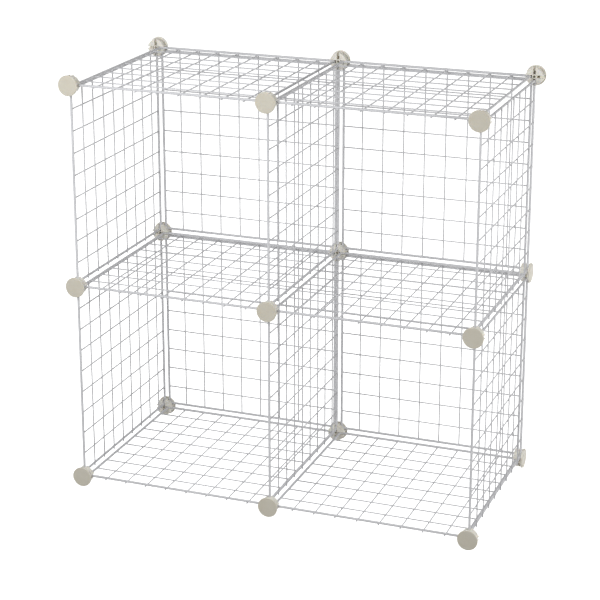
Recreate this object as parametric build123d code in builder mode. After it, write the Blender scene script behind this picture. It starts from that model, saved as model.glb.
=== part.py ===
from build123d import *
import os

# Cube storage unit: welded wire panels held at every corner by round snap connectors.
# Millimetres, +Z up, front faces -Y.  The unit stands on the rims of its bottom connectors,
# and the origin is the bottom centre of its bounding box.

# --- unit ---
columns = 2
rows = 2

# --- wire panel ---
panel_size = 350.0          # outer size of the square frame, across the frame wire
wire_dia = 4.5              # frame wire
mesh_dia = 2.4              # mesh wire
mesh_count = 8              # mesh wires in each direction
edge_cell = 35.0            # frame wire centreline to the first mesh wire
corner_radius = 7.5         # bend of the frame wire, on its centreline
frame_weld_sink = 0.35      # depth that a lapped mesh wire is pressed into the frame wire
weld_size = 1.0             # square spot weld that joins two crossing mesh wires
weld_height = 0.5           # half in each wire
weld_seam = 0.02            # crossing mesh wires stand this far apart beside their weld
lap_overrun = 0.8           # lapped wire ends stand out past the frame by this much

# --- snap connector ---
disc_thickness = 3.0
disc_edge_radius = 1.3      # rounding of the disc's outer rim
disc_overhang = 1.6         # disc radius past the ends of the channel walls
channel_clearance = 0.3     # channel width over the frame wire
channel_wall = 2.0          # flank wall on each side of a channel
channel_grip = 1.5          # straight frame wire held in a channel, past the panel's corner bend
channel_headroom = 2.6      # channel height above the wire
channel_floor = 1.6
wall_gap = 0.75             # flank wall to the frame wire that passes beside it
pocket_clearance = 0.4      # play over a frame wire that lies in the pocket under the petals
petal_top = 1.6             # plate that closes each petal
petal_wall = 1.6
petal_setback = 1.2         # petal rim inside the ends of the flank walls
petal_edge_radius = 0.6     # rounding of the petal's top rim
hub_radius = 4.2
hub_hole_radius = 2.4
hub_hole_depth = 12.0
lip_depth = 0.3             # each lip narrows the channel mouth by this much
lip_height = 1.2
lip_top_gap = 0.7
core_wall = 1.5

# --- worked-out sizes ---
wire_r = wire_dia / 2
mesh_r = mesh_dia / 2
frame_span = panel_size - wire_dia                      # between opposite frame centrelines
mesh_pitch = (frame_span - 2 * edge_cell) / (mesh_count - 1)
lap_z = wire_r + mesh_r - frame_weld_sink               # lapped mesh wires, under the frame plane
cross_z = lap_z - mesh_dia - weld_seam                  # crossing mesh wires

channel_half = (wire_dia + channel_clearance) / 2
flank_half = channel_half + channel_wall
node_gap = flank_half + wall_gap + wire_r               # connector axis to frame centreline
pitch = frame_span + 2 * node_gap                       # between connector axes

flat_wire_z = disc_thickness + wire_r                   # wire of a panel parallel to the disc
edge_wire_z = flat_wire_z + node_gap                    # wire of a panel standing on the disc
channel_bottom = edge_wire_z - wire_r
connector_height = edge_wire_z + wire_r + channel_headroom
petal_bottom = disc_thickness + wire_dia + pocket_clearance
channel_reach = node_gap + corner_radius + channel_grip
petal_radius = channel_reach - petal_setback
disc_radius = channel_reach + disc_overhang
bend_inner_reach = (node_gap + corner_radius) * 2**0.5 - corner_radius - wire_r
core_radius = bend_inner_reach - pocket_clearance
lip_bottom = connector_height - lip_top_gap - lip_height
lip_start = channel_reach - 2 * petal_setback

back_plane = edge_wire_z + frame_span + node_gap        # back panels, from the front disc faces
depth = back_plane + disc_radius                        # over the sideways discs
y_shift = -depth / 2
z_shift = disc_radius


with BuildPart() as panel:
    # One square panel flat on XY, centred on its frame wire, mesh lapped on its -Z side.
    half = frame_span / 2
    with BuildSketch(Plane.XZ):
        with Locations((half, 0)):
            Circle(wire_r)
    with BuildLine() as rim:
        FilletPolyline((half, 0), (half, half), (-half, half), (-half, 0), radius=corner_radius)
    sweep(path=rim.wire())
    mirror(about=Plane.XZ)
    lap_length = panel_size + 2 * lap_overrun
    with BuildSketch(Plane.XZ):
        with Locations((0, -lap_z)):
            with GridLocations(mesh_pitch, 0, mesh_count, 1):
                Circle(mesh_r)
    extrude(amount=lap_length / 2, both=True)
    with BuildSketch(Plane.YZ):
        with Locations((0, -cross_z)):
            with GridLocations(mesh_pitch, 0, mesh_count, 1):
                Circle(mesh_r)
    extrude(amount=half, both=True)
    with BuildSketch(Plane.XY.offset(-(lap_z + cross_z) / 2)):
        with GridLocations(mesh_pitch, mesh_pitch, mesh_count, mesh_count):
            Rectangle(weld_size, weld_size)
    extrude(amount=weld_height / 2, both=True)


with BuildPart() as connector:
    # One connector with its axis on +Z, the outer face of its disc on XY.
    with BuildSketch():
        Circle(disc_radius)
    extrude(amount=disc_thickness)
    fillet(faces().sort_by(Axis.Z)[0].edges(), radius=disc_edge_radius)

    # Flank walls of the four channels, from the disc to the top.
    with BuildSketch(Plane.XY.offset(disc_thickness)):
        with PolarLocations(0, 4):
            with Locations((channel_half, channel_half)):
                Rectangle(channel_reach, channel_wall, align=(Align.MIN, Align.MIN))
                Rectangle(channel_wall, channel_reach, align=(Align.MIN, Align.MIN))
        Circle(channel_reach, mode=Mode.INTERSECT)
    extrude(amount=connector_height - disc_thickness)

    # Petals: quadrant caps over the pocket, closed at the top and hollow toward the disc.
    with BuildSketch(Plane.XY.offset(petal_bottom)):
        with PolarLocations(0, 4):
            with Locations((channel_half, channel_half)):
                Rectangle(channel_reach, channel_reach, align=(Align.MIN, Align.MIN))
        Circle(petal_radius, mode=Mode.INTERSECT)
    extrude(amount=connector_height - petal_bottom)
    top_arcs = edges().group_by(Axis.Z)[-1].filter_by(GeomType.CIRCLE)
    petal_rims = top_arcs.filter_by(lambda arc: arc.radius < channel_reach - petal_setback / 2)
    fillet(petal_rims, radius=petal_edge_radius)
    with BuildSketch(Plane.XY.offset(petal_bottom)):
        with PolarLocations(0, 4):
            with Locations((flank_half, flank_half)):
                Rectangle(channel_reach, channel_reach, align=(Align.MIN, Align.MIN))
        Circle(petal_radius - petal_wall, mode=Mode.INTERSECT)
    extrude(amount=connector_height - petal_bottom - petal_top, mode=Mode.SUBTRACT)

    # The ring around which the wire corners pass, and the four floors it carries, on which the
    # edge wires rest.  Inside the ring the channels are open down to the disc.
    with BuildSketch(Plane.XY.offset(channel_bottom - channel_floor)):
        Rectangle(2 * channel_reach, 2 * channel_half)
        Rectangle(2 * channel_half, 2 * channel_reach)
        Circle(channel_reach, mode=Mode.INTERSECT)
        Circle(core_radius - core_wall, mode=Mode.SUBTRACT)
    extrude(amount=channel_floor)
    with BuildSketch(Plane.XY.offset(disc_thickness)):
        Circle(core_radius)
        Circle(core_radius - core_wall, mode=Mode.SUBTRACT)
    extrude(amount=channel_bottom - channel_floor - disc_thickness)

    # Retaining lips at the channel mouths.
    with BuildSketch(Plane.XY.offset(lip_bottom)):
        with PolarLocations(0, 4):
            with Locations((lip_start, channel_half - lip_depth), (lip_start, -channel_half)):
                Rectangle(channel_reach, lip_depth, align=(Align.MIN, Align.MIN))
        Circle(channel_reach, mode=Mode.INTERSECT)
    extrude(amount=lip_height)

    # Hub with its blind hole.
    with BuildSketch(Plane.XY.offset(disc_thickness)):
        Circle(hub_radius)
    extrude(amount=connector_height - disc_thickness)
    with Locations((0, 0, connector_height)):
        Hole(hub_hole_radius, depth=hub_hole_depth)


def place(shape, name, plane):
    """Write one copy of a shape, moved from XY to the given plane, as its own sub-part."""
    copy = shape.moved(plane.location)
    copy.label = name
    export_step(copy, f"parts/{name}.step")


def node(column, row, y):
    """Corner point of the cubes: column and row count from the left and the bottom."""
    return ((column - columns / 2) * pitch, y + y_shift, row * pitch + z_shift)


os.makedirs("parts", exist_ok=True)

column_names = ["left", "middle", "right"]
row_names = ["bottom", "middle", "top"]
mid_y = edge_wire_z + frame_span / 2

# Upright panels between the front and the back: the two sides and the divider.
for column in range(columns + 1):
    for row in range(rows):
        x, y, z = node(column, row + 0.5, mid_y)
        plane = Plane(origin=(x, y, z), x_dir=(0, 1, 0), z_dir=(-1, 0, 0))
        side = ["left_side", "divider", "right_side"][column]
        place(panel.part, f"{side}_panel_{['lower', 'upper'][row]}", plane)

# Level panels: bottoms, shelves and tops.
for row in range(rows + 1):
    for column in range(columns):
        x, y, z = node(column + 0.5, row, mid_y)
        plane = Plane(origin=(x, y, z), x_dir=(1, 0, 0), z_dir=(0, 0, 1))
        level = ["bottom", "shelf", "top"][row]
        place(panel.part, f"{level}_panel_{['left', 'right'][column]}", plane)

# Back panels.
for row in range(rows):
    for column in range(columns):
        x, y, z = node(column + 0.5, row + 0.5, back_plane)
        plane = Plane(origin=(x, y, z), x_dir=(1, 0, 0), z_dir=(0, -1, 0))
        place(panel.part, f"back_panel_{['lower', 'upper'][row]}_{['left', 'right'][column]}", plane)

# Connectors: discs outward at the front and the back.  Two on the right of the back are
# turned sideways, with their discs in the right side.
sideways = [(2, 0), (2, 1)]
for column in range(columns + 1):
    for row in range(rows + 1):
        where = f"{row_names[row]}_{column_names[column]}"
        front = Plane(origin=node(column, row, 0), x_dir=(1, 0, 0), z_dir=(0, 1, 0))
        place(connector.part, f"front_connector_{where}", front)
        x, y, z = node(column, row, back_plane)
        if (column, row) in sideways:
            rear = Plane(origin=(x + flat_wire_z, y, z), x_dir=(0, 1, 0), z_dir=(-1, 0, 0))
        else:
            rear = Plane(origin=(x, y + flat_wire_z, z), x_dir=(1, 0, 0), z_dir=(0, -1, 0))
        place(connector.part, f"rear_connector_{where}", rear)
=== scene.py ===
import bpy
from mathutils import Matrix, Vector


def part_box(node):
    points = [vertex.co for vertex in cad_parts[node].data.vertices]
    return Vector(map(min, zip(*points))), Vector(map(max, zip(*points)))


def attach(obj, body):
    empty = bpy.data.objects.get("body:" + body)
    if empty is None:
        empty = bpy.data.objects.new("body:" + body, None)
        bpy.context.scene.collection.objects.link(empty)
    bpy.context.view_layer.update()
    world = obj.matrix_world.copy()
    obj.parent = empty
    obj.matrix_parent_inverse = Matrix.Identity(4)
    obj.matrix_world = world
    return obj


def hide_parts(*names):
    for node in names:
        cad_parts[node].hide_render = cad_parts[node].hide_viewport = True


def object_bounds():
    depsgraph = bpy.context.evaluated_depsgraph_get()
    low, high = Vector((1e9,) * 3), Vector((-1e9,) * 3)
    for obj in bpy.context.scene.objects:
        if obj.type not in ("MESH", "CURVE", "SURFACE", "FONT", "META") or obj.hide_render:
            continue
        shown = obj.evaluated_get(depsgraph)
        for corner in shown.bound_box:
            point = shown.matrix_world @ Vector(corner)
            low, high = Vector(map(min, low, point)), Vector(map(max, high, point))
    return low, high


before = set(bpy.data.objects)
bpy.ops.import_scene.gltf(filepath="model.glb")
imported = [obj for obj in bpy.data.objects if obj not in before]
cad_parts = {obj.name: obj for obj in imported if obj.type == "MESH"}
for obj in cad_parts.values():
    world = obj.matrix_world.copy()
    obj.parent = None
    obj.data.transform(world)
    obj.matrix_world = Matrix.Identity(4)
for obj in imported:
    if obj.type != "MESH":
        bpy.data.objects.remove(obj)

"""Cube storage unit of white wire panels and ivory snap connectors, in a plain pale studio.

Every length is in metres.  Pieces take their places from the boxes of the nodes they stand for.
"""

import logging
import math
from dataclasses import dataclass, field
from enum import Enum

import bmesh
import bpy
from mathutils import Matrix, Vector

log = logging.getLogger("cube_unit")

CAD_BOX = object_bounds()


class PanelPose(Enum):
    """How a wire panel stands: its x axis and its plain side, away from the lapped wires."""

    UPRIGHT = ((0, 1, 0), (-1, 0, 0))
    LEVEL = ((1, 0, 0), (0, 0, 1))
    BACK = ((1, 0, 0), (0, -1, 0))


class DiscFacing(Enum):
    """Where a connector's disc looks: its x axis and the way from the disc to the prongs."""

    FRONT = ((1, 0, 0), (0, 1, 0))
    REAR = ((1, 0, 0), (0, -1, 0))
    RIGHT = ((0, 1, 0), (-1, 0, 0))


def placement(origin: Vector, x_axis: tuple, z_axis: tuple) -> Matrix:
    """Matrix that carries a piece from its own axes to its place in the unit.

    Args:
        origin: where the piece's own origin goes.
        x_axis: direction of its x axis.
        z_axis: direction of its z axis.

    Returns:
        The 4 by 4 placement.
    """
    x = Vector(x_axis)
    z = Vector(z_axis)
    turn = Matrix((x, z.cross(x), z)).transposed()
    return Matrix.Translation(origin) @ turn.to_4x4()


def ring_points(centre: Vector, along: Vector, up: Vector, radius: float, sides: int) -> list[Vector]:
    """Points of a circle around a wire.

    Args:
        centre: middle of the circle.
        along: direction of the wire there.
        up: a direction that is not along the wire, where the first point lies.
        radius: radius of the circle.
        sides: number of points.

    Returns:
        The points, in order.
    """
    side = along.cross(up).normalized()
    top = side.cross(along).normalized()
    turns = [2 * math.pi * k / sides for k in range(sides)]
    return [centre + radius * (math.cos(t) * top + math.sin(t) * side) for t in turns]


def skin_rings(bm: bmesh.types.BMesh, rings: list[list[Vector]], closed: bool) -> None:
    """Faces between successive rings of points.

    Args:
        bm: mesh that takes the faces.
        rings: rings with the same number of points each.
        closed: True where the last ring joins the first, False to cap both ends.
    """
    rows = [[bm.verts.new(p) for p in ring] for ring in rings]
    count = len(rows[0])
    pairs = list(zip(rows, rows[1:]))
    if closed:
        pairs.append((rows[-1], rows[0]))
    for low, high in pairs:
        for k in range(count):
            n = (k + 1) % count
            bm.faces.new((low[k], high[k], high[n], low[n]))
    if not closed:
        bm.faces.new(rows[0])
        bm.faces.new(list(reversed(rows[-1])))


def finished_mesh(bm: bmesh.types.BMesh, name: str, smooth_angle: float) -> bpy.types.Mesh:
    """Mesh with outward faces, smooth except across sharp edges.

    Args:
        bm: geometry, which is freed.
        name: name of the mesh.
        smooth_angle: edges sharper than this many degrees stay crisp.

    Returns:
        The new mesh.
    """
    bmesh.ops.recalc_face_normals(bm, faces=bm.faces)
    for face in bm.faces:
        face.smooth = True
    mesh = bpy.data.meshes.new(name)
    bm.to_mesh(mesh)
    bm.free()
    mesh.set_sharp_from_angle(angle=math.radians(smooth_angle))
    return mesh


def united_mesh(shells: list[bpy.types.Mesh], name: str, smooth_angle: float) -> bpy.types.Mesh:
    """One closed skin around several overlapping closed shells.

    Args:
        shells: closed meshes that overlap.
        name: name of the result.
        smooth_angle: edges sharper than this many degrees stay crisp.

    Returns:
        The united mesh.
    """
    base = bpy.data.objects.new(f"{name}_base", shells[0])
    others = bpy.data.collections.new(f"{name}_shells")
    bpy.context.scene.collection.objects.link(base)
    bpy.context.scene.collection.children.link(others)
    tools = []
    for shell in shells[1:]:
        tool = bpy.data.objects.new(shell.name, shell)
        others.objects.link(tool)
        tools.append(tool)
    union = base.modifiers.new("union", "BOOLEAN")
    union.operation = "UNION"
    union.operand_type = "COLLECTION"
    union.collection = others
    union.solver = "EXACT"
    depsgraph = bpy.context.evaluated_depsgraph_get()
    mesh = bpy.data.meshes.new_from_object(base.evaluated_get(depsgraph))
    mesh.name = name
    for thing in [base, *tools]:
        bpy.data.objects.remove(thing)
    bpy.data.collections.remove(others)
    for shell in shells:
        bpy.data.meshes.remove(shell)
    mesh.set_sharp_from_angle(angle=math.radians(smooth_angle))
    return mesh


def node_at(tree: bpy.types.NodeTree, kind: str, **values: object) -> bpy.types.Node:
    """New shader node with its unlinked sockets set.

    Args:
        tree: node tree that takes the node.
        kind: Blender's type name for the node.
        **values: socket name, with spaces as underscores, to value.

    Returns:
        The node.
    """
    node = tree.nodes.new(kind)
    for name, value in values.items():
        node.inputs[name.replace("_", " ")].default_value = value
    return node


@dataclass(frozen=True)
class Blotches:
    """Soft cloudy change of a value over the surface: patch size and how fine it gets."""

    size: float
    detail: float = 3.0

    def factor(self, tree: bpy.types.NodeTree, place: bpy.types.NodeSocket) -> bpy.types.NodeSocket:
        """Noise of this size, read at a place.

        Args:
            tree: node tree that takes the nodes.
            place: socket with the position on the piece.

        Returns:
            The socket with a value around one half.
        """
        noise = node_at(tree, "ShaderNodeTexNoise", Scale=1.0 / self.size, Detail=self.detail)
        tree.links.new(place, noise.inputs["Vector"])
        return noise.outputs["Fac"]


def piece_place(tree: bpy.types.NodeTree) -> bpy.types.NodeSocket:
    """Position on the piece, shifted by a different step on each piece.

    Args:
        tree: node tree that takes the nodes.

    Returns:
        The socket with the position.
    """
    where = tree.nodes.new("ShaderNodeTexCoord")
    info = tree.nodes.new("ShaderNodeObjectInfo")
    shift = tree.nodes.new("ShaderNodeVectorMath")
    shift.operation = "MULTIPLY_ADD"
    shift.inputs[1].default_value = (3.7, 2.9, 4.3)
    tree.links.new(info.outputs["Random"], shift.inputs[0])
    tree.links.new(where.outputs["Object"], shift.inputs[2])
    return shift.outputs["Vector"]


def ramp(tree: bpy.types.NodeTree, factor: bpy.types.NodeSocket, stops: list) -> bpy.types.NodeSocket:
    """Colour that follows a factor.

    Args:
        tree: node tree that takes the node.
        factor: socket that drives the colour.
        stops: (position, colour) pairs in rising order.

    Returns:
        The colour socket.
    """
    node = tree.nodes.new("ShaderNodeValToRGB")
    elements = node.color_ramp.elements
    while len(elements) < len(stops):
        elements.new(0.5)
    for element, (position, colour) in zip(elements, stops):
        element.position = position
        element.color = (*colour, 1.0)
    tree.links.new(factor, node.inputs["Fac"])
    return node.outputs["Color"]


def spread(
    tree: bpy.types.NodeTree, factor: bpy.types.NodeSocket, low: float, high: float
) -> bpy.types.NodeSocket:
    """Value between two limits that follows a factor.

    Args:
        tree: node tree that takes the node.
        factor: socket that drives the value, mostly between 0.3 and 0.7.
        low: value where the factor is low.
        high: value where the factor is high.

    Returns:
        The value socket.
    """
    node = node_at(tree, "ShaderNodeMapRange", From_Min=0.3, From_Max=0.7, To_Min=low, To_Max=high)
    tree.links.new(factor, node.inputs["Value"])
    return node.outputs["Result"]


def bumps(
    tree: bpy.types.NodeTree,
    height: bpy.types.NodeSocket,
    depth: float,
    strength: float,
    under: bpy.types.NodeSocket | None = None,
) -> bpy.types.NodeSocket:
    """Small relief from a height.

    Args:
        tree: node tree that takes the node.
        height: socket with the height.
        depth: relief for a height of one.
        strength: share of the relief that shows.
        under: normal of a coarser relief below this one.

    Returns:
        The normal socket.
    """
    node = node_at(tree, "ShaderNodeBump", Strength=strength, Distance=depth)
    tree.links.new(height, node.inputs["Height"])
    if under is not None:
        tree.links.new(under, node.inputs["Normal"])
    return node.outputs["Normal"]


@dataclass(frozen=True)
class PowderCoat:
    """White baked powder on steel wire: satin, slightly uneven, with a fine orange peel."""

    white: tuple = (0.74, 0.74, 0.755)
    thin: tuple = (0.67, 0.67, 0.685)
    cloud: Blotches = Blotches(0.05, 4.0)
    peel: Blotches = Blotches(0.0011, 2.0)
    pits: Blotches = Blotches(0.0035, 5.0)
    roughness: tuple = (0.34, 0.5)
    pit_depth: float = 0.00012
    peel_depth: float = 0.00005
    gloss_coat: float = 0.05

    def material(self) -> bpy.types.Material:
        """The finish as a material.

        Returns:
            The new material.
        """
        made = bpy.data.materials.new("white_powder_coat")
        made.use_nodes = True
        tree = made.node_tree
        shader = tree.nodes["Principled BSDF"]
        place = piece_place(tree)
        cloud = self.cloud.factor(tree, place)
        colour = ramp(tree, cloud, [(0.32, self.thin), (0.62, self.white)])
        tree.links.new(colour, shader.inputs["Base Color"])
        pits = self.pits.factor(tree, place)
        tree.links.new(spread(tree, pits, *self.roughness), shader.inputs["Roughness"])
        coarse = bumps(tree, pits, self.pit_depth, 0.35)
        fine = bumps(tree, self.peel.factor(tree, place), self.peel_depth, 0.4, coarse)
        tree.links.new(fine, shader.inputs["Normal"])
        shader.inputs["Coat Weight"].default_value = self.gloss_coat
        shader.inputs["Coat Roughness"].default_value = 0.3
        return made


@dataclass(frozen=True)
class MouldedPlastic:
    """Ivory injection-moulded plastic: faint flow clouds, spark-eroded grain, light scatters inside.

    The outer face of the cover disc carries painted shade: it is made darker than the rest to stand in
    for the weaker light on that face, though the plastic is the same all over.
    """

    ivory: tuple = (0.90, 0.86, 0.765)
    pale: tuple = (0.925, 0.895, 0.81)
    # painted shade: tint that darkens the disc's outer face to stand in for the shade it sits in
    painted_face_shade: tuple = (0.74, 0.72, 0.665)
    face_height: float = 0.0012
    face_blend: float = 0.0008
    roughness: tuple = (0.3, 0.42)
    sink_depth: float = 0.0003
    grain_depth: float = 0.00002
    scatter: float = 0.12
    scatter_reach: float = 0.002
    flow: Blotches = Blotches(0.018, 2.0)
    handling: Blotches = Blotches(0.006, 4.0)
    grain: Blotches = Blotches(0.00035, 2.0)
    sink: Blotches = Blotches(0.012, 1.0)

    def material(self) -> bpy.types.Material:
        """The finish as a material.

        Returns:
            The new material.
        """
        made = bpy.data.materials.new("ivory_plastic")
        made.use_nodes = True
        tree = made.node_tree
        shader = tree.nodes["Principled BSDF"]
        place = piece_place(tree)
        colour = ramp(tree, self.flow.factor(tree, place), [(0.35, self.ivory), (0.65, self.pale)])
        # base colour, with painted shade on the disc's outer face
        tree.links.new(self.painted_shade_on_face(tree, colour), shader.inputs["Base Color"])
        rubbed = spread(tree, self.handling.factor(tree, place), *self.roughness)
        tree.links.new(rubbed, shader.inputs["Roughness"])
        waves = bumps(tree, self.sink.factor(tree, place), self.sink_depth, 0.25)
        grain = bumps(tree, self.grain.factor(tree, place), self.grain_depth, 0.5, waves)
        tree.links.new(grain, shader.inputs["Normal"])
        shader.inputs["Subsurface Weight"].default_value = self.scatter
        shader.inputs["Subsurface Radius"].default_value = (1.0, 0.8, 0.5)
        shader.inputs["Subsurface Scale"].default_value = self.scatter_reach
        return made

    def painted_shade_on_face(self, tree: bpy.types.NodeTree, colour: bpy.types.NodeSocket) -> bpy.types.NodeSocket:
        """Colour with painted shade: made darker on the outer face of the cover disc.

        Args:
            tree: node tree that takes the nodes.
            colour: socket with the colour of the other faces.

        Returns:
            The colour socket for the whole connector.
        """
        where = tree.nodes.new("ShaderNodeTexCoord")
        split = tree.nodes.new("ShaderNodeSeparateXYZ")
        tree.links.new(where.outputs["Object"], split.inputs["Vector"])
        low = self.face_height - self.face_blend
        step = node_at(tree, "ShaderNodeMapRange", From_Min=low, From_Max=self.face_height)
        tree.links.new(split.outputs["Z"], step.inputs["Value"])
        # painted shade: below face_height, on the disc's outer face, the colour is darkened by
        # painted_face_shade
        shade = ramp(tree, step.outputs["Result"], [(0.0, self.painted_face_shade), (1.0, (1.0, 1.0, 1.0))])
        product = tree.nodes.new("ShaderNodeVectorMath")
        product.operation = "MULTIPLY"
        tree.links.new(colour, product.inputs[0])
        tree.links.new(shade, product.inputs[1])
        return product.outputs["Vector"]


@dataclass(frozen=True)
class PaleFloor:
    """Smooth white studio floor with a faint sheen."""

    tone: tuple = (0.93, 0.93, 0.93)
    warm: tuple = (0.92, 0.918, 0.912)
    glow: float = 1.0

    def material(self) -> bpy.types.Material:
        """The finish as a material.

        Returns:
            The new material.
        """
        made = bpy.data.materials.new("pale_floor")
        made.use_nodes = True
        tree = made.node_tree
        shader = tree.nodes["Principled BSDF"]
        where = tree.nodes.new("ShaderNodeTexCoord").outputs["Object"]
        colour = ramp(tree, Blotches(0.8).factor(tree, where), [(0.3, self.warm), (0.7, self.tone)])
        tree.links.new(colour, shader.inputs["Base Color"])
        shader.inputs["Roughness"].default_value = 0.7
        shader.inputs["Emission Color"].default_value = (1.0, 1.0, 1.0, 1.0)
        shader.inputs["Emission Strength"].default_value = self.glow
        return made


@dataclass
class WirePanel:
    """Square grid panel: bent frame wire, mesh wires lapped on its -z side, crossing mesh wires."""

    size: float = 0.350
    wire: float = 0.0045
    mesh_wire: float = 0.0024
    count: int = 8
    edge_cell: float = 0.035
    corner_radius: float = 0.0075
    frame_sink: float = 0.00035
    seam: float = 0.00002
    overrun: float = 0.0008
    frame_sides: int = 20
    mesh_sides: int = 12
    corner_steps: int = 10
    weld_spread: float = 0.0014
    weld_rise: float = 0.0008

    @property
    def half(self) -> float:
        """Half of the distance between opposite frame wires' centrelines."""
        return (self.size - self.wire) / 2

    @property
    def lap_z(self) -> float:
        """Height of the lapped wires' centrelines."""
        return -(self.wire / 2 + self.mesh_wire / 2 - self.frame_sink)

    @property
    def cross_z(self) -> float:
        """Height of the crossing wires' centrelines."""
        return self.lap_z + self.mesh_wire + self.seam

    def wire_places(self) -> list[float]:
        """Distances of the mesh wires from the panel's middle line.

        Returns:
            The distances, in rising order.
        """
        first = -self.half + self.edge_cell
        step = -2 * first / (self.count - 1)
        return [first + k * step for k in range(self.count)]

    def frame_path(self) -> list[Vector]:
        """Centreline of the frame wire, a square with round corners.

        Returns:
            The points, in order.
        """
        reach = self.half - self.corner_radius
        points = []
        for corner in range(4):
            start = corner * math.pi / 2
            towards = start + math.pi / 4
            across = math.copysign(reach, math.cos(towards))
            upward = math.copysign(reach, math.sin(towards))
            middle = Vector((across, upward, 0))
            for k in range(self.corner_steps + 1):
                t = start + k * math.pi / 2 / self.corner_steps
                points.append(middle + self.corner_radius * Vector((math.cos(t), math.sin(t), 0)))
        return points

    def add_frame(self, bm: bmesh.types.BMesh) -> None:
        """Frame wire with its butt weld in the middle of one side.

        Args:
            bm: mesh that takes the wire.
        """
        path = self.frame_path()
        count = len(path)
        up = Vector((0, 0, 1))
        rings = []
        for k, point in enumerate(path):
            along = (path[(k + 1) % count] - path[k - 1]).normalized()
            rings.append(ring_points(point, along, up, self.wire / 2, self.frame_sides))
        skin_rings(bm, rings, closed=True)
        flash = [(-0.0016, 0.0), (-0.0007, 0.00018), (0.0, 0.00026), (0.0007, 0.00018), (0.0016, 0.0)]
        along = Vector((1, 0, 0))
        butt = []
        for x, rise in flash:
            middle = Vector((x, -self.half, 0))
            butt.append(ring_points(middle, along, up, self.wire / 2 + rise, self.frame_sides))
        skin_rings(bm, butt, closed=False)

    def add_wire(self, bm: bmesh.types.BMesh, start: Vector, end: Vector) -> None:
        """Straight mesh wire with softly cut ends.

        Args:
            bm: mesh that takes the wire.
            start: one end of its centreline.
            end: the other end.
        """
        along = (end - start).normalized()
        up = Vector((0, 0, 1))
        radius = self.mesh_wire / 2
        soft = 0.25 * radius
        tip = 0.72 * radius
        stations = [
            (start, tip),
            (start + soft * along, radius),
            (end - soft * along, radius),
            (end, tip),
        ]
        skin_rings(bm, [ring_points(p, along, up, r, self.mesh_sides) for p, r in stations], closed=False)

    def add_weld(self, bm: bmesh.types.BMesh, centre: Vector, size: tuple) -> None:
        """Rounded weld, filled over by the coating.

        Args:
            bm: mesh that takes the weld.
            centre: middle of the weld.
            size: its half sizes along x, y and z.
        """
        sizes = Matrix.Diagonal((*size, 1.0))
        bmesh.ops.create_uvsphere(
            bm, u_segments=10, v_segments=6, radius=1.0, matrix=Matrix.Translation(centre) @ sizes
        )

    def mesh(self) -> bpy.types.Mesh:
        """The whole panel, flat on the xy plane and centred on its frame wire.

        Returns:
            The new mesh.
        """
        bm = bmesh.new()
        self.add_frame(bm)
        places = self.wire_places()
        lap_end = self.size / 2 + self.overrun
        cross_end = self.half - 0.25 * self.wire
        for place in places:
            lapped = [Vector((place, end, self.lap_z)) for end in (-lap_end, lap_end)]
            crossing = [Vector((end, place, self.cross_z)) for end in (-cross_end, cross_end)]
            self.add_wire(bm, *lapped)
            self.add_wire(bm, *crossing)
        seam_z = (self.lap_z + self.cross_z) / 2
        lap_weld_z = -self.wire / 2 + self.frame_sink / 2
        wide = self.weld_spread
        rise = self.weld_rise
        for x in places:
            for y in places:
                self.add_weld(bm, Vector((x, y, seam_z)), (wide, wide, rise))
            for side in (-1, 1):
                lap = Vector((x, side * self.half, lap_weld_z))
                self.add_weld(bm, lap, (1.15 * wide, 1.5 * wide, rise))
                butt = Vector((side * (self.half - 0.44 * self.wire), x, self.cross_z))
                self.add_weld(bm, butt, (wide, 1.2 * wide, 1.2 * rise))
        return finished_mesh(bm, "wire_panel", 50)


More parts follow.
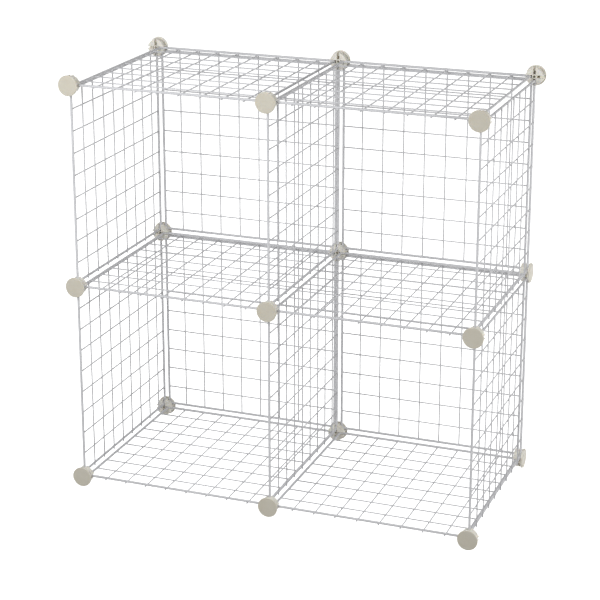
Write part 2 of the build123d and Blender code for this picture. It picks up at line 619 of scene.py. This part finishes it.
@dataclass
class SnapConnector:
    """Round connector: disc, cross of four channels, four petals and a hub, axis on +z."""

    disc_radius: float = 0.018
    disc_thickness: float = 0.003
    disc_edge: float = 0.0013
    height: float = 0.0175
    channel_half: float = 0.0024
    flank: float = 0.002
    reach: float = 0.0164
    petal_bottom: float = 0.0079
    petal_radius: float = 0.0152
    petal_wall: float = 0.0016
    petal_top: float = 0.0016
    channel_bottom: float = 0.0104
    channel_floor: float = 0.0016
    core_radius: float = 0.01092
    core_wall: float = 0.0015
    hub_radius: float = 0.0042
    hole_radius: float = 0.0024
    hole_depth: float = 0.012
    lip_low: float = 0.0156
    lip_high: float = 0.0168
    lip_start: float = 0.014
    lip_depth: float = 0.0003
    edge: float = 0.00035
    root: float = 0.0005
    arc_steps: int = 14
    turned: int = 72

    def arc(self, radius: float, offset: float) -> list[Vector]:
        """Quarter arc about the axis between two lines that lie an offset from the x and y axes.

        Args:
            radius: radius of the arc.
            offset: distance of both lines from their axes.

        Returns:
            The points, from near the x axis to near the y axis.
        """
        first = math.asin(offset / radius)
        last = math.pi / 2 - first
        steps = self.arc_steps
        turns = [first + (last - first) * k / steps for k in range(steps + 1)]
        return [Vector((radius * math.cos(t), radius * math.sin(t), 0)) for t in turns]

    def turned_shell(self, profile: list[tuple], name: str) -> bpy.types.Mesh:
        """Shell of a profile turned about the axis.

        Args:
            profile: (radius, height) pairs; both ends lie on the axis.
            name: name of the shell.

        Returns:
            The closed mesh.
        """
        bm = bmesh.new()
        turns = [2 * math.pi * k / self.turned for k in range(self.turned)]
        low = bm.verts.new((0, 0, profile[0][1]))
        high = bm.verts.new((0, 0, profile[-1][1]))
        rows = [
            [bm.verts.new((r * math.cos(t), r * math.sin(t), z)) for t in turns] for r, z in profile[1:-1]
        ]
        for k in range(self.turned):
            n = (k + 1) % self.turned
            bm.faces.new((low, rows[0][n], rows[0][k]))
            bm.faces.new((high, rows[-1][k], rows[-1][n]))
            for inner, outer in zip(rows, rows[1:]):
                bm.faces.new((inner[k], inner[n], outer[n], outer[k]))
        return finished_mesh(bm, name, 40)

    def prism(
        self, outline: list[Vector], low: float, high: float, name: str, edge: float
    ) -> bpy.types.Mesh:
        """Upright block with softened edges.

        Args:
            outline: corners of its plan, in order.
            low: height of its underside.
            high: height of its top.
            name: name of the shell.
            edge: width of the softening.

        Returns:
            The closed mesh.
        """
        bm = bmesh.new()
        bottom = [bm.verts.new((p.x, p.y, low)) for p in outline]
        top = [bm.verts.new((p.x, p.y, high)) for p in outline]
        bm.faces.new(list(reversed(bottom)))
        bm.faces.new(top)
        for k in range(len(outline)):
            n = (k + 1) % len(outline)
            bm.faces.new((bottom[k], bottom[n], top[n], top[k]))
        self.soften(bm, edge)
        return finished_mesh(bm, name, 40)

    def soften(self, bm: bmesh.types.BMesh, edge: float) -> None:
        """Rounds every sharp edge of a shell.

        Args:
            bm: geometry of the shell.
            edge: width of the rounding.
        """
        bmesh.ops.recalc_face_normals(bm, faces=bm.faces)
        sharp = [e for e in bm.edges if len(e.link_faces) == 2 and e.calc_face_angle() > math.radians(35)]
        bmesh.ops.bevel(
            bm, geom=sharp, offset=edge, segments=2, profile=0.5, affect="EDGES", clamp_overlap=True
        )

    def disc(self) -> bpy.types.Mesh:
        """Flat round cover with a rounded rim.

        Returns:
            The closed mesh.
        """
        r = self.disc_radius
        e = self.disc_edge
        rim = [
            (r - e + e * math.sin(t), e - e * math.cos(t))
            for t in (k * math.pi / 2 / 8 for k in range(9))
        ]
        top = self.disc_thickness
        soft = 0.0004
        back = [(r, top - soft), (r - soft, top), (0.5 * r, top), (0, top)]
        profile = [(0, 0), (0.5 * r, 0), *rim, *back]
        return self.turned_shell(profile, "disc")

    def hub(self) -> bpy.types.Mesh:
        """Round hub with a blind hole.

        Returns:
            The closed mesh.
        """
        low = self.disc_thickness - self.root
        top = self.height
        hole = self.hole_radius
        floor = top - self.hole_depth
        e = self.edge
        profile = [
            (0, low), (self.hub_radius, low), (self.hub_radius, top - e), (self.hub_radius - e, top),
            (hole + e, top), (hole, top - e), (hole, floor), (0, floor),
        ]
        return self.turned_shell(profile, "hub")

    def core(self) -> list[bpy.types.Mesh]:
        """Ring under the petals and the channels, as four arcs that meet below the channels.

        Returns:
            The four closed meshes.
        """
        low = self.disc_thickness - self.root
        high = self.channel_bottom - self.channel_floor + 0.0004
        outer = self.arc(self.core_radius, 0.0)
        inner = self.arc(self.core_radius - self.core_wall, 0.0)
        plan = outer + list(reversed(inner))
        return [self.prism(self.turn(plan, k), low, high, f"core_{k}", 0.0) for k in range(4)]

    def turn(self, outline: list[Vector], quarter: int) -> list[Vector]:
        """Outline turned about the axis.

        Args:
            outline: points to turn.
            quarter: number of quarter turns.

        Returns:
            The turned points.
        """
        spin = Matrix.Rotation(quarter * math.pi / 2, 3, "Z")
        return [spin @ p for p in outline]

    def cap(self, quarter: int) -> bpy.types.Mesh:
        """One petal: a quadrant cap, hollow below, whose flank walls run on past its rim.

        Args:
            quarter: which quadrant it fills.

        Returns:
            The closed mesh.
        """
        near = self.channel_half
        far = near + self.flank
        ear = math.sqrt(self.reach**2 - near**2)
        ear_in = math.sqrt(self.reach**2 - far**2)
        rim = self.arc(self.petal_radius, far)
        pocket = self.arc(self.petal_radius - self.petal_wall, far)
        outer = [
            Vector((near, near, 0)), Vector((ear, near, 0)), Vector((ear_in, far, 0)), *rim,
            Vector((far, ear_in, 0)), Vector((near, ear, 0)),
        ]
        inner = [Vector((far, far, 0)), pocket[0], pocket[0], *pocket, pocket[-1], pocket[-1]]
        spin = Matrix.Rotation(quarter * math.pi / 2, 3, "Z")
        levels = [
            (inner, self.height - self.petal_top), (inner, self.petal_bottom),
            (outer, self.petal_bottom), (outer, self.height),
        ]
        bm = bmesh.new()
        rows = [[bm.verts.new(spin @ p + Vector((0, 0, z))) for p in plan] for plan, z in levels]
        count = len(outer)
        for low, high in zip(rows, rows[1:]):
            for k in range(count):
                n = (k + 1) % count
                bm.faces.new((low[k], low[n], high[n], high[k]))
        bm.faces.new(list(reversed(rows[0])))
        bm.faces.new(rows[-1])
        bmesh.ops.remove_doubles(bm, verts=bm.verts, dist=1e-6)
        self.soften(bm, self.edge)
        return finished_mesh(bm, f"cap_{quarter}", 40)

    def webs(self, quarter: int) -> list[bpy.types.Mesh]:
        """The two flank walls of a quadrant between the disc and its petal.

        Args:
            quarter: which quadrant they belong to.

        Returns:
            The two closed meshes.
        """
        near = self.channel_half + 0.00005
        far = self.channel_half + self.flank - 0.00005
        end = math.sqrt(self.reach**2 - self.channel_half**2) - 0.0001
        end_in = math.sqrt(self.reach**2 - far**2) - 0.0001
        corners = [(near, near), (end, near), (end_in, far), (near, far)]
        along_x = [Vector((x, y, 0)) for x, y in corners]
        along_y = [Vector((p.y, p.x, 0)) for p in reversed(along_x)]
        low = self.disc_thickness - self.root
        high = self.petal_bottom + self.root
        return [
            self.prism(self.turn(plan, quarter), low, high, f"web_{quarter}_{side}", 0.0)
            for side, plan in enumerate((along_x, along_y))
        ]

    def floors(self) -> list[bpy.types.Mesh]:
        """Floors of the four channels, from the ring outward, which the frame wires rest on.

        Returns:
            The four closed meshes.
        """
        wide = self.channel_half + 0.0008
        end = math.sqrt(self.reach**2 - wide**2) - 0.0002
        start = math.sqrt((self.core_radius - self.core_wall) ** 2 - wide**2)
        corners = [(start, -wide), (end, -wide), (end, wide), (start, wide)]
        plan = [Vector((x, y, 0)) for x, y in corners]
        low = self.channel_bottom - self.channel_floor
        return [
            self.prism(self.turn(plan, k), low, self.channel_bottom, f"floor_{k}", 0.0) for k in range(4)
        ]

    def lips(self) -> list[bpy.types.Mesh]:
        """Snap lips at the mouths of the channels.

        Returns:
            The eight closed meshes.
        """
        near = self.channel_half
        end = self.reach - 0.0006
        made = []
        for k in range(4):
            for side in (-1, 1):
                a = side * (near - self.lip_depth)
                b = side * (near + 0.0006)
                corners = [(self.lip_start, a), (end, a), (end, b), (self.lip_start, b)]
                plan = self.turn([Vector((x, y, 0)) for x, y in corners], k)
                made.append(self.prism(plan, self.lip_low, self.lip_high, f"lip_{k}_{side}", 0.00015))
        return made

    def mesh(self) -> bpy.types.Mesh:
        """The whole connector in one skin.

        Returns:
            The new mesh.
        """
        shells = [self.disc(), self.hub(), *self.core(), *self.floors(), *self.lips()]
        for quarter in range(4):
            shells.append(self.cap(quarter))
            shells.extend(self.webs(quarter))
        return united_mesh(shells, "snap_connector", 40)


@dataclass
class CubeUnit:
    """The storage unit: sixteen wire panels and eighteen connectors, each in its node's place."""

    panel: WirePanel = field(default_factory=WirePanel)
    connector: SnapConnector = field(default_factory=SnapConnector)
    coat: PowderCoat = PowderCoat()
    plastic: MouldedPlastic = MouldedPlastic()

    def panel_pose(self, node: str) -> PanelPose:
        """Which way the panel of a node stands.

        Args:
            node: name of the node.

        Returns:
            The pose.
        """
        if node.startswith("back"):
            return PanelPose.BACK
        if node.startswith(("bottom", "shelf", "top")):
            return PanelPose.LEVEL
        return PanelPose.UPRIGHT

    def panel_place(self, node: str) -> Matrix:
        """Where a panel goes: the middle of its node's box, in the plane of the frame wire.

        Args:
            node: name of the node.

        Returns:
            The placement.
        """
        low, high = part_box(node)
        pose = self.panel_pose(node)
        x_axis, plain = pose.value
        middle = (low + high) / 2
        side = Vector(plain)
        depth = abs((high - low).dot(side))
        origin = middle + side * (depth / 2 - self.panel.wire / 2)
        return placement(origin, x_axis, plain)

    def facing(self, node: str) -> DiscFacing:
        """Which way the disc of a connector looks, from the flat direction of its box.

        Args:
            node: name of the node.

        Returns:
            The direction.
        """
        low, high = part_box(node)
        extent = high - low
        if extent.x < extent.y:
            return DiscFacing.RIGHT
        return DiscFacing.FRONT if node.startswith("front") else DiscFacing.REAR

    def connector_place(self, node: str) -> Matrix:
        """Where a connector goes: the middle of the outer face of its disc.

        Args:
            node: name of the node.

        Returns:
            The placement.
        """
        low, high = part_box(node)
        x_axis, inward = self.facing(node).value
        way = Vector(inward)
        depth = abs((high - low).dot(way))
        return placement((low + high) / 2 - way * depth / 2, x_axis, inward)

    def add_piece(self, mesh: bpy.types.Mesh, node: str, place: Matrix) -> None:
        """One piece of the unit, in place of its node.

        Args:
            mesh: shape of the piece.
            node: node that it stands for.
            place: its placement.
        """
        piece = bpy.data.objects.new(f"{node}_piece", mesh)
        bpy.context.scene.collection.objects.link(piece)
        piece.matrix_world = place
        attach(piece, "root")
        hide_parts(node)
        spot = tuple(round(value, 4) for value in place.translation)
        log.info("%s: %d faces at %s", piece.name, len(mesh.polygons), spot)

    def build(self) -> None:
        """Makes every piece of the unit."""
        panel_mesh = self.panel.mesh()
        panel_mesh.materials.append(self.coat.material())
        connector_mesh = self.connector.mesh()
        connector_mesh.materials.clear()
        connector_mesh.materials.append(self.plastic.material())
        for node in sorted(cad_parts):
            if "connector" in node:
                self.add_piece(connector_mesh, node, self.connector_place(node))
            else:
                self.add_piece(panel_mesh, node, self.panel_place(node))


@dataclass(frozen=True)
class Softbox:
    """Square soft light: where it hangs, where it points, its side and its power."""

    name: str
    place: tuple
    target: tuple
    side: float
    power: float
    tint: tuple = (1.0, 1.0, 1.0)

    def hang(self) -> None:
        """Puts the light in the scene."""
        lamp = bpy.data.lights.new(self.name, "AREA")
        lamp.size = self.side
        lamp.energy = self.power
        lamp.color = self.tint
        light = bpy.data.objects.new(self.name, lamp)
        light.location = self.place
        aim = Vector(self.target) - Vector(self.place)
        light.rotation_euler = aim.to_track_quat("-Z", "Y").to_euler()
        bpy.context.scene.collection.objects.link(light)


@dataclass
class Studio:
    """Pale floor, even surround, soft lights from the upper left, and the camera."""

    surround: float = 0.28
    floor_side: float = 60.0
    lights: tuple = (
        Softbox("key", (-0.4, -1.4, 1.2), (-0.1, 0.0, 0.5), 0.8, 13.0, (0.965, 0.98, 1.0)),
        Softbox("overhead", (-0.4, 0.0, 3.0), (0.0, 0.0, 0.4), 2.0, 5.0),
        Softbox("side_fill", (1.7, -0.18, 0.7), (0.0, 0.1, 0.4), 0.8, 10.0),
        Softbox("rear_fill", (-0.6, 2.3, 1.3), (0.0, 0.0, 0.4), 1.2, 7.0),
    )
    eye: tuple = (1.1072, -2.9467, 1.4223)
    yaw: float = 20.791
    pitch: float = 17.161
    focal_share: float = 1868.3 / 600
    lift: float = -0.1

    def lay_floor(self) -> None:
        """Wide floor under the unit."""
        bm = bmesh.new()
        bmesh.ops.create_grid(bm, x_segments=1, y_segments=1, size=self.floor_side / 2)
        floor = bpy.data.objects.new("floor", finished_mesh(bm, "floor", 30))
        floor.data.materials.append(PaleFloor().material())
        floor.location.z = CAD_BOX[0][2]
        floor.visible_diffuse = False
        bpy.context.scene.collection.objects.link(floor)

    def light_room(self) -> None:
        """Even white surround and the soft lights."""
        world = bpy.data.worlds.new("surround")
        world.use_nodes = True
        world.node_tree.nodes["Background"].inputs["Color"].default_value = (1.0, 1.0, 1.0, 1.0)
        world.node_tree.nodes["Background"].inputs["Strength"].default_value = self.surround
        bpy.context.scene.world = world
        for light in self.lights:
            light.hang()

    def set_camera(self) -> None:
        """Camera to the right of the middle, looking down a little."""
        lens = bpy.data.cameras.new("camera")
        lens.sensor_width = 36.0
        lens.lens = 36.0 * self.focal_share
        lens.shift_y = self.lift
        lens.clip_end = 100.0
        camera = bpy.data.objects.new("camera", lens)
        camera.location = self.eye
        camera.rotation_euler = (math.radians(90 - self.pitch), 0.0, math.radians(self.yaw))
        bpy.context.scene.collection.objects.link(camera)
        bpy.context.scene.camera = camera

    def build(self) -> None:
        """Makes the whole studio."""
        self.lay_floor()
        self.light_room()
        self.set_camera()
        bpy.context.scene.view_settings.view_transform = "Standard"


def main() -> None:
    """Builds the unit, then the studio around it."""
    logging.basicConfig(level=logging.INFO, format="%(message)s")
    CubeUnit().build()
    Studio().build()


if __name__ == "__main__":
    main()
